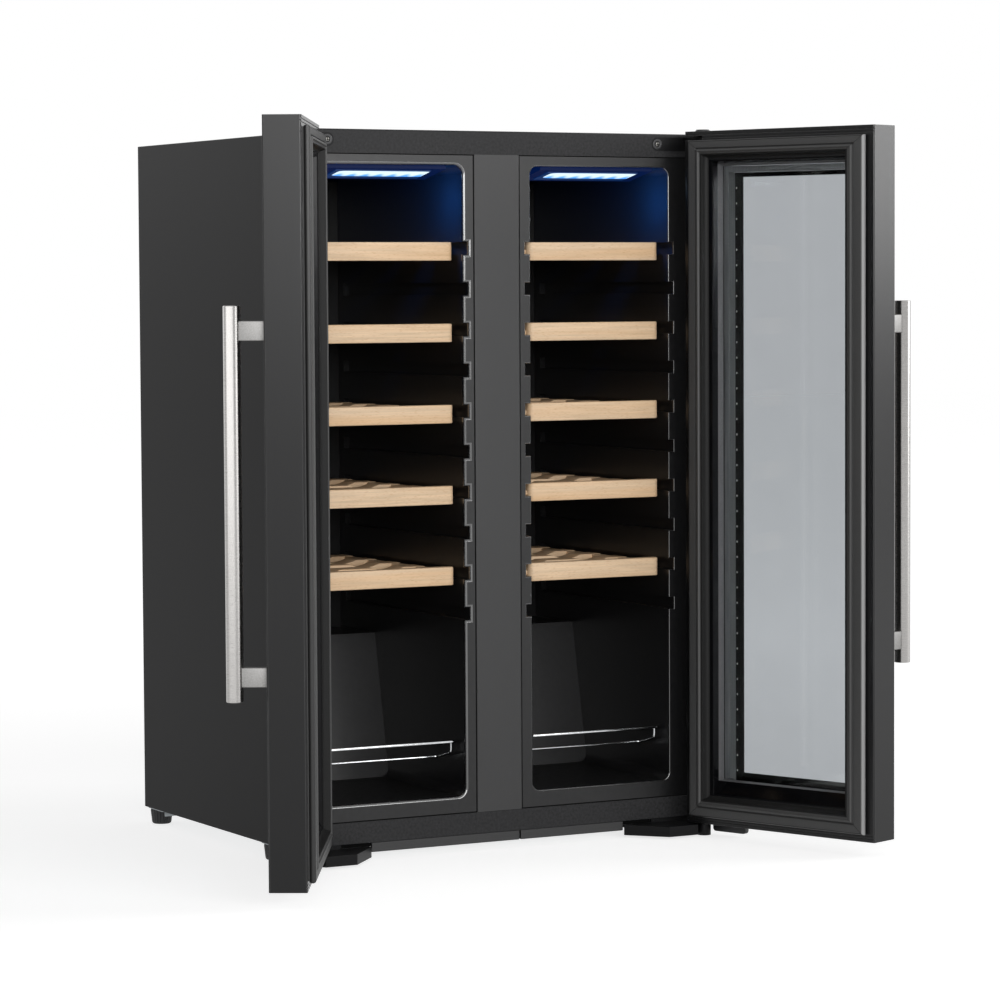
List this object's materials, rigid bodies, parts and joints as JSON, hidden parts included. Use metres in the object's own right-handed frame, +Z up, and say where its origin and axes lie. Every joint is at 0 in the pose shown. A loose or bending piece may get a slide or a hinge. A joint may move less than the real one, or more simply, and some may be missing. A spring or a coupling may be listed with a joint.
{
  "type": "wine cooler",
  "caption": "Free-standing black wine cooler with two glazed doors, side-by-side cooling zones, sliding beech shelves and an inclined lower bay.",
  "frame": {"origin": "on the floor at the centre of the four feet", "axes": "+Z up, front and doors towards -Y, +X to the right seen from the front"},
  "size_m": [0.8464, 0.6806, 0.8315],
  "materials": {
    "cabinet_steel": "satin black paint",
    "zinc_steel": "dull zinc coat",
    "foam": "rigid foam",
    "liner_plastic": "satin moulded",
    "trim_plastic": "fine texture",
    "lamp_lens": "lit diffuser",
    "cold_aluminium": "mill finish",
    "compressor_paint": "semi-gloss",
    "mount_rubber": "matt",
    "copper": "drawn tube",
    "tray_plastic": "natural",
    "box_plastic": "moulded",
    "hinge_steel": "black",
    "chrome_wire": "bright",
    "fan_plastic": "moulded",
    "foot_plastic": "moulded",
    "beech": "clear matt varnish",
    "door_frame": "dark satin metallic",
    "smoke_glass": "tinted",
    "clear_glass": "clear",
    "spacer_bar": "black",
    "surround_plastic": "gloss black",
    "gasket_rubber": "soft matt",
    "handle_steel": "brushed along the bar",
    "fitting_plastic": "moulded"
  },
  "bodies": {
    "cabinet": {"side_panel_left": "cabinet_steel", "side_panel_right": "cabinet_steel", "top_panel": "cabinet_steel", "back_panel": "zinc_steel", "base_pan": "zinc_steel", "compressor_plate": "zinc_steel", "rear_grille": "zinc_steel", "insulation_foam": "foam", "liner_left": "liner_plastic", "liner_right": "liner_plastic", "air_panel_left": "liner_plastic", "air_panel_right": "liner_plastic", "lamp_housings": "liner_plastic", "front_top_strip": "trim_plastic", "front_bottom_strip": "trim_plastic", "mullion_cover": "trim_plastic", "kick_plates": "trim_plastic", "lamp_lenses": "lamp_lens", "cold_plates": "cold_aluminium", "compressor": "compressor_paint", "compressor_mounts": "mount_rubber", "condenser_coil": "copper", "drip_tray": "tray_plastic", "control_box": "box_plastic", "power_inlet": "box_plastic", "top_hinges": "hinge_steel", "bottom_hinges": "hinge_steel", "wire_racks": "chrome_wire"},
    "door_left": {"door_left_frame": "door_frame", "door_left_outer_glass": "smoke_glass", "door_left_inner_glass": "clear_glass", "door_left_glass_spacer": "spacer_bar", "door_left_surround": "surround_plastic", "door_left_gasket": "gasket_rubber", "door_left_handle": "handle_steel", "door_left_hinge_fittings": "fitting_plastic"},
    "door_right": {"door_right_frame": "door_frame", "door_right_outer_glass": "smoke_glass", "door_right_inner_glass": "clear_glass", "door_right_glass_spacer": "spacer_bar", "door_right_surround": "surround_plastic", "door_right_gasket": "gasket_rubber", "door_right_handle": "handle_steel", "door_right_hinge_fittings": "fitting_plastic"},
    "shelf_left_1": {"shelf_left_1": "beech"},
    "shelf_left_2": {"shelf_left_2": "beech"},
    "shelf_left_3": {"shelf_left_3": "beech"},
    "shelf_left_4": {"shelf_left_4": "beech"},
    "shelf_left_5": {"shelf_left_5": "beech"},
    "shelf_right_1": {"shelf_right_1": "beech"},
    "shelf_right_2": {"shelf_right_2": "beech"},
    "shelf_right_3": {"shelf_right_3": "beech"},
    "shelf_right_4": {"shelf_right_4": "beech"},
    "shelf_right_5": {"shelf_right_5": "beech"},
    "fan_left": {"fan_rotor_left": "fan_plastic"},
    "fan_right": {"fan_rotor_right": "fan_plastic"},
    "foot_front_left": {"foot_front_left": "foot_plastic"},
    "foot_front_right": {"foot_front_right": "foot_plastic"},
    "foot_rear_left": {"foot_rear_left": "foot_plastic"},
    "foot_rear_right": {"foot_rear_right": "foot_plastic"}
  },
  "joints": [
    {"name": "door_left_swing", "type": "hinge", "parent": "cabinet", "child": "door_left", "pos_m": [-0.259, -0.2565, 0], "axis": [0, 0, -1], "range_deg": [-119.6, 10.4]},
    {"name": "door_right_swing", "type": "hinge", "parent": "cabinet", "child": "door_right", "pos_m": [0.259, -0.2565, 0], "axis": [0, 0, 1], "range_deg": [-110.8, 19.2]},
    {"name": "shelf_left_1_slide", "type": "slide", "parent": "cabinet", "child": "shelf_left_1", "axis": [0, -1, 0], "range_m": [0, 0.14]},
    {"name": "shelf_left_2_slide", "type": "slide", "parent": "cabinet", "child": "shelf_left_2", "axis": [0, -1, 0], "range_m": [0, 0.14]},
    {"name": "shelf_left_3_slide", "type": "slide", "parent": "cabinet", "child": "shelf_left_3", "axis": [0, -1, 0], "range_m": [0, 0.14]},
    {"name": "shelf_left_4_slide", "type": "slide", "parent": "cabinet", "child": "shelf_left_4", "axis": [0, -1, 0], "range_m": [0, 0.14]},
    {"name": "shelf_left_5_slide", "type": "slide", "parent": "cabinet", "child": "shelf_left_5", "axis": [0, -1, 0], "range_m": [0, 0.14]},
    {"name": "shelf_right_1_slide", "type": "slide", "parent": "cabinet", "child": "shelf_right_1", "axis": [0, -1, 0], "range_m": [0, 0.14]},
    {"name": "shelf_right_2_slide", "type": "slide", "parent": "cabinet", "child": "shelf_right_2", "axis": [0, -1, 0], "range_m": [0, 0.14]},
    {"name": "shelf_right_3_slide", "type": "slide", "parent": "cabinet", "child": "shelf_right_3", "axis": [0, -1, 0], "range_m": [0, 0.14]},
    {"name": "shelf_right_4_slide", "type": "slide", "parent": "cabinet", "child": "shelf_right_4", "axis": [0, -1, 0], "range_m": [0, 0.14]},
    {"name": "shelf_right_5_slide", "type": "slide", "parent": "cabinet", "child": "shelf_right_5", "axis": [0, -1, 0], "range_m": [0, 0.14]},
    {"name": "fan_left_spin", "type": "hinge", "parent": "cabinet", "child": "fan_left", "pos_m": [-0.1365, 0.108, 0.64], "axis": [0, 1, 0], "continuous": true},
    {"name": "fan_right_spin", "type": "hinge", "parent": "cabinet", "child": "fan_right", "pos_m": [0.1365, 0.108, 0.64], "axis": [0, 1, 0], "continuous": true},
    {"name": "foot_front_left_turn", "type": "hinge", "parent": "cabinet", "child": "foot_front_left", "pos_m": [-0.256, -0.164, 0], "axis": [0, 0, 1], "continuous": true},
    {"name": "foot_front_right_turn", "type": "hinge", "parent": "cabinet", "child": "foot_front_right", "pos_m": [0.256, -0.164, 0], "axis": [0, 0, 1], "continuous": true},
    {"name": "foot_rear_left_turn", "type": "hinge", "parent": "cabinet", "child": "foot_rear_left", "pos_m": [-0.256, 0.164, 0], "axis": [0, 0, 1], "continuous": true},
    {"name": "foot_rear_right_turn", "type": "hinge", "parent": "cabinet", "child": "foot_rear_right", "pos_m": [0.256, 0.164, 0], "axis": [0, 0, 1], "continuous": true}
  ]
}
